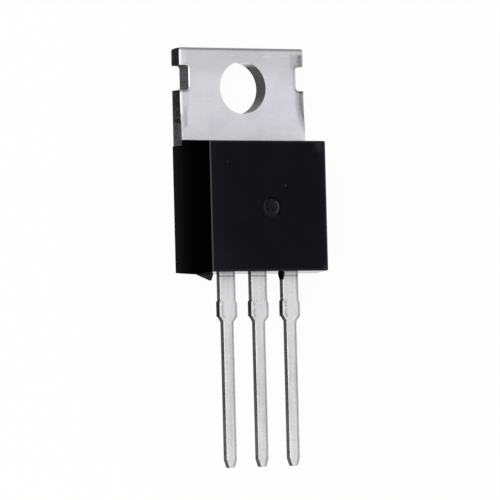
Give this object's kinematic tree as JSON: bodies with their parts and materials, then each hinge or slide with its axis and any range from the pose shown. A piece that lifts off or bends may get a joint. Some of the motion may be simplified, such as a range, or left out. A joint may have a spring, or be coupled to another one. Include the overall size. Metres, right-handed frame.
{
  "type": "power transistor",
  "caption": "Flat-tab power transistor: tinned copper tab with a screw hole, black moulded block, flat leads in line for a circuit board.",
  "frame": {"origin": "centre of the tab's screw hole on the seating plane, which is the metal back", "axes": "+Z out of the moulded front along the screw hole, +Y along the part towards the tab's end with the leads pointing to -Y, +X to the right seen from the front with the leads down"},
  "size_m": [0.01, 0.0294, 0.0047],
  "materials": {
    "black_epoxy": "fine-grained black moulded epoxy with a slight sheen",
    "tinned_copper": "satin matte-tin plating over copper, with darker sheared edges",
    "silicon": "polished dark grey chip",
    "solder": "dull soft solder",
    "bond_aluminium": "drawn aluminium wire"
  },
  "bodies": {
    "root": {"moulded_body": "black_epoxy", "tab_header": "tinned_copper", "gate_lead": "tinned_copper", "source_lead": "tinned_copper", "silicon_die": "silicon", "die_solder": "solder", "gate_wire": "bond_aluminium", "source_wire_left": "bond_aluminium", "source_wire_right": "bond_aluminium"}
  },
  "joints": []
}
